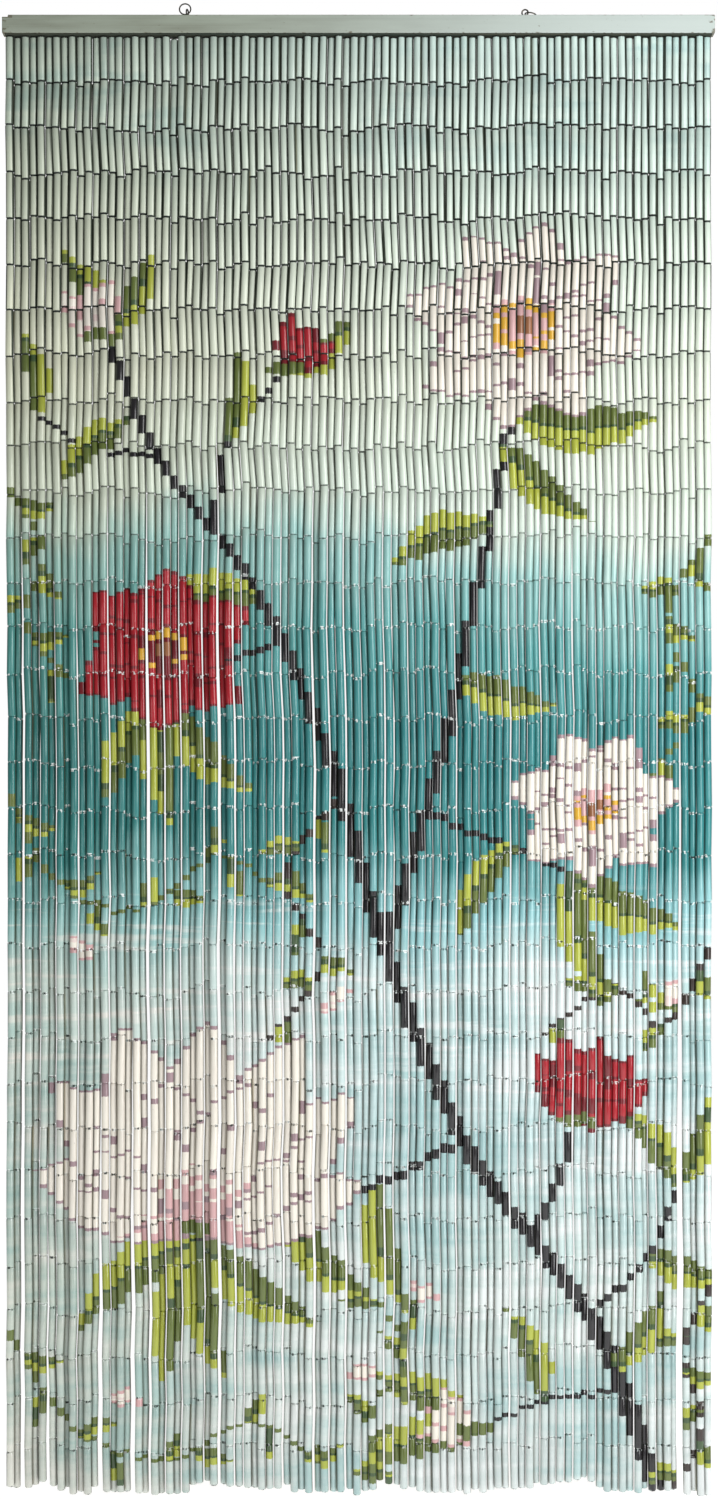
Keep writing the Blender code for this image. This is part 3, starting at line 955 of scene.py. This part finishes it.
painted_bamboo = bead_finish()
for name, first, last in GROUPS:
    group = bead_group(name, first, last)
    painted_bamboo.on(group)
    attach(group, "root")
    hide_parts("bead_strands")


# Wire links: a soft steel wire runs down each tube and is bent to an eye at both ends. The eyes of
# two tubes hook into each other, one across the curtain and one front to back.

LINK_WIRE = 0.00034
LINK_SIDES = 3
EYE_PATH = (  # aside and out of the tube's end
    (-0.0009, -0.0030),
    (-0.0012, -0.0001),
    (0.0, 0.0010),
    (0.0012, -0.0001),
    (0.0009, -0.0030),
)


def wires(name, paths, aside, radius, sides):
    """Round wires as one mesh. Each runs along a path of points, and its section is a polygon square
    to the path, drawn on two directions that are kept from twisting by one fixed side direction."""
    step = np.gradient(paths, axis=1)
    step /= np.linalg.norm(step, axis=2, keepdims=True)
    aside = np.broadcast_to(aside[:, None], step.shape)
    other = np.cross(step, aside)
    other /= np.linalg.norm(other, axis=2, keepdims=True)
    angle = 2 * math.pi * np.arange(sides) / sides
    section = np.cos(angle)[:, None] * aside[:, :, None] + np.sin(angle)[:, None] * other[:, :, None]
    points = paths[:, :, None] + radius * section
    count, length = paths.shape[:2]
    corners, sizes = closed_tube(length, sides)
    return many_shells(name, points.reshape(count, -1, 3), corners, sizes, sizes == 4)


def eye_paths():
    """An eye at each end of each tube: the path lies in a plane through the tube's line. The plane
    faces the front at a tube's top and the side at its foot, give or take a turn."""
    rng = np.random.default_rng(41)
    turn = 0.35 * rng.normal(size=(2, BEADS, STRANDS)).clip(-2, 2)
    turn[1] += math.pi / 2
    line = joints[1:] - joints[:-1]
    aim = line / np.linalg.norm(line, axis=2, keepdims=True)
    upper = joints[:-1] + aim * joint_gap[:-1, :, None] / 2
    lower = joints[1:] - aim * joint_gap[1:, :, None] / 2
    ends = np.stack((upper, lower))
    out = np.stack((-aim, aim))
    level = np.stack((np.cos(turn), np.sin(turn), np.zeros_like(turn)), axis=3)
    path = np.array(EYE_PATH)
    points = ends[..., None, :] + level[..., None, :] * path[:, :1] + out[..., None, :] * path[:, 1:]
    aside = np.cross(level, out)
    aside /= np.linalg.norm(aside, axis=3, keepdims=True)
    return points.reshape(-1, len(path), 3), aside.reshape(-1, 3)


links = wires("bead_wire_eyes", *eye_paths(), LINK_WIRE, LINK_SIDES)
link_steel = steel_finish("link_wire", 1500.0)
link_steel.on(links)
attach(links, "root")
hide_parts("bead_strands")


# Fixing strip and staples: a thin lath under the rail, and in it one wire staple for each strand,
# which holds the top eye of the strand. One staple has pulled half out and become a long hook.

STRIP_DEPTH = 0.0158
STRIP_TOP = -0.0243
STRIP_THICKNESS = 0.0022
STRIP_HALF = 0.4617
STRIP_SIDES = 16
STRIP_SQUARE = 0.35  # the lower, the sharper its edges
STRIP_END = 0.0004
STRIP_END_SIZE = 0.93
STAPLE_WIRE = 0.00045
STAPLE_SIDES = 5
STAPLE_PATH = (  # aside and up from the strip's underside
    (-0.0016, 0.0010),
    (-0.0016, -0.0016),
    (-0.0010, -0.0030),
    (0.0, -0.0035),
    (0.0010, -0.0030),
    (0.0016, -0.0016),
    (0.0016, 0.0010),
)
STRIP_SHADE = (34, 46, 38)
STRIP_WORN = (66, 66, 52)


def strip_mesh(name):
    """The strip: a closed rounded rectangle carried along X, whose half sizes shrink at the two ends.
    A section's points are cosine and sine to the power STRIP_SQUARE, times the half depth and
    thickness."""
    left = (-STRIP_HALF, -STRIP_HALF + STRIP_END)
    right = (STRIP_HALF - STRIP_END, STRIP_HALF)
    along = np.concatenate((left, np.linspace(-0.45, 0.45, 31), right))
    angle = 2 * math.pi * (np.arange(STRIP_SIDES) + 0.5) / STRIP_SIDES
    cosine, sine = np.cos(angle), np.sin(angle)
    flat = np.sign(cosine) * np.abs(cosine) ** STRIP_SQUARE * STRIP_DEPTH / 2
    thick = np.sign(sine) * np.abs(sine) ** STRIP_SQUARE * STRIP_THICKNESS / 2
    shrink = np.ones((len(along), 1))
    shrink[[0, -1]] = STRIP_END_SIZE
    x = np.broadcast_to(along[:, None], (len(along), STRIP_SIDES))
    z = STRIP_TOP - STRIP_THICKNESS / 2 + thick * shrink
    points = np.stack((x, flat * shrink, z), axis=2)
    corners, sizes = closed_tube(len(along), STRIP_SIDES)
    return many_shells(name, points.reshape(1, -1, 3), corners, sizes, sizes == 0)


def strip_finish():
    """Lath in a dark colour that paints the shade under the rail, with grain along X."""
    wood = Finish("strip_wood")
    grain = wood.noise(wood.place(), RAIL_GRAIN, 4.0, 0.6)
    wood.wear(
        Base_Color=wood.mixed(grain.rise(0.35, 0.7), colour(*STRIP_SHADE), colour(*STRIP_WORN)),
        Roughness=0.7 + grain * 0.15,
        Normal=wood.bump(grain, 0.0002, 0.6),
    )
    return wood


def staple_paths():
    """A staple above each strand's first joint: the path stands in the plane of the rail's front, with
    its crown as low as the first eye, and turned a little."""
    turn = 0.3 * np.random.default_rng(43).normal(size=STRANDS).clip(-2, 2)
    level = np.stack((np.cos(turn), np.sin(turn), np.zeros(STRANDS)), axis=1)
    path = np.array(STAPLE_PATH)
    underside = STRIP_TOP - STRIP_THICKNESS
    drop = underside - joints[0, :, 2]
    stretched = -np.abs(drop[:, None] * path[:, 1] / path[:, 1].min())
    height = np.where(path[:, 1] < 0, stretched, path[:, 1])
    root = joints[0] * (1, 1, 0) + np.array((0.0, 0.0, underside))
    up = np.array((0.0, 0.0, 1.0))
    points = root[:, None] + level[:, None] * path[:, :1] + up * height[..., None]
    return points, np.cross(level, up)


strip = strip_mesh("fixing_strip")
strip_finish().on(strip)
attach(strip, "root")
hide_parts("bead_strands")

staples = wires("strand_staples", *staple_paths(), STAPLE_WIRE, STAPLE_SIDES)
link_steel.on(staples)
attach(staples, "root")
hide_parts("bead_strands")


# Studio: the curtain hangs clear above a plain pale floor, before a white surround. One tall soft
# light stands to the right of the camera, a weaker one low on the left, and the surround fills the rest.

FLOOR_HEIGHT = -1.965
FLOOR_X = 2.5
FLOOR_FRONT = -1.2
FLOOR_BACK = 2.4
SURROUND_LIGHT = 0.29
CAMERA_PLACE = (0.00065, -2.408, -0.960)
CAMERA_LENS = 44.14


def floor():
    """One level rectangle."""
    mesh = bpy.data.meshes.new("studio_floor")
    edge = ((-FLOOR_X, FLOOR_FRONT), (FLOOR_X, FLOOR_FRONT), (FLOOR_X, FLOOR_BACK), (-FLOOR_X, FLOOR_BACK))
    mesh.from_pydata([(x, y, FLOOR_HEIGHT) for x, y in edge], [], [(0, 1, 2, 3)])
    thing = bpy.data.objects.new("studio_floor", mesh)
    bpy.context.scene.collection.objects.link(thing)
    pale = Finish("pale_floor")
    pale.wear(Base_Color=(0.92, 0.92, 0.92, 1.0), Roughness=0.9)
    pale.wear(Emission_Color=(1.0, 1.0, 1.0, 1.0), Emission_Strength=0.75)
    pale.on(thing)


def soft_light(name, place, aim, width, height, power):
    """A rectangular lamp turned so that its own -Z points at the aim."""
    lamp = bpy.data.lights.new(name, "AREA")
    lamp.shape = "RECTANGLE"
    lamp.size = width
    lamp.size_y = height
    lamp.energy = power
    thing = bpy.data.objects.new(name, lamp)
    thing.location = place
    direction = np.array(place) - np.array(aim)
    level = math.hypot(direction[0], direction[1])
    thing.rotation_euler = (math.atan2(level, direction[2]), 0.0, math.atan2(direction[0], -direction[1]))
    bpy.context.scene.collection.objects.link(thing)


def surround():
    """White to the camera, and a dimmer white to everything else."""
    world = bpy.data.worlds.new("white_surround")
    world.use_nodes = True
    nodes, join = world.node_tree.nodes, world.node_tree.links.new
    seen = nodes.new("ShaderNodeLightPath")
    strength = nodes.new("ShaderNodeMapRange")
    strength.inputs["To Min"].default_value = SURROUND_LIGHT
    strength.inputs["To Max"].default_value = 1.0
    join(seen.outputs["Is Camera Ray"], strength.inputs["Value"])
    backdrop = nodes["Background"]
    backdrop.inputs["Color"].default_value = (1.0, 1.0, 1.0, 1.0)
    join(strength.outputs[0], backdrop.inputs["Strength"])
    bpy.context.scene.world = world


floor()
soft_light("key_light", (0.95, -1.10, -0.75), (0.0, 0.0, -0.85), 0.60, 1.9, 27.0)
soft_light("fill_light", (-1.10, -1.50, -1.45), (-0.2, 0.0, -1.20), 0.9, 1.1, 6.0)
surround()

camera = bpy.data.objects.new("camera", bpy.data.cameras.new("camera"))
camera.location = CAMERA_PLACE
camera.rotation_euler = (math.pi / 2, 0.0, 0.0)
camera.data.lens = CAMERA_LENS
bpy.context.scene.collection.objects.link(camera)
bpy.context.scene.camera = camera
bpy.context.scene.view_settings.view_transform = "Standard"
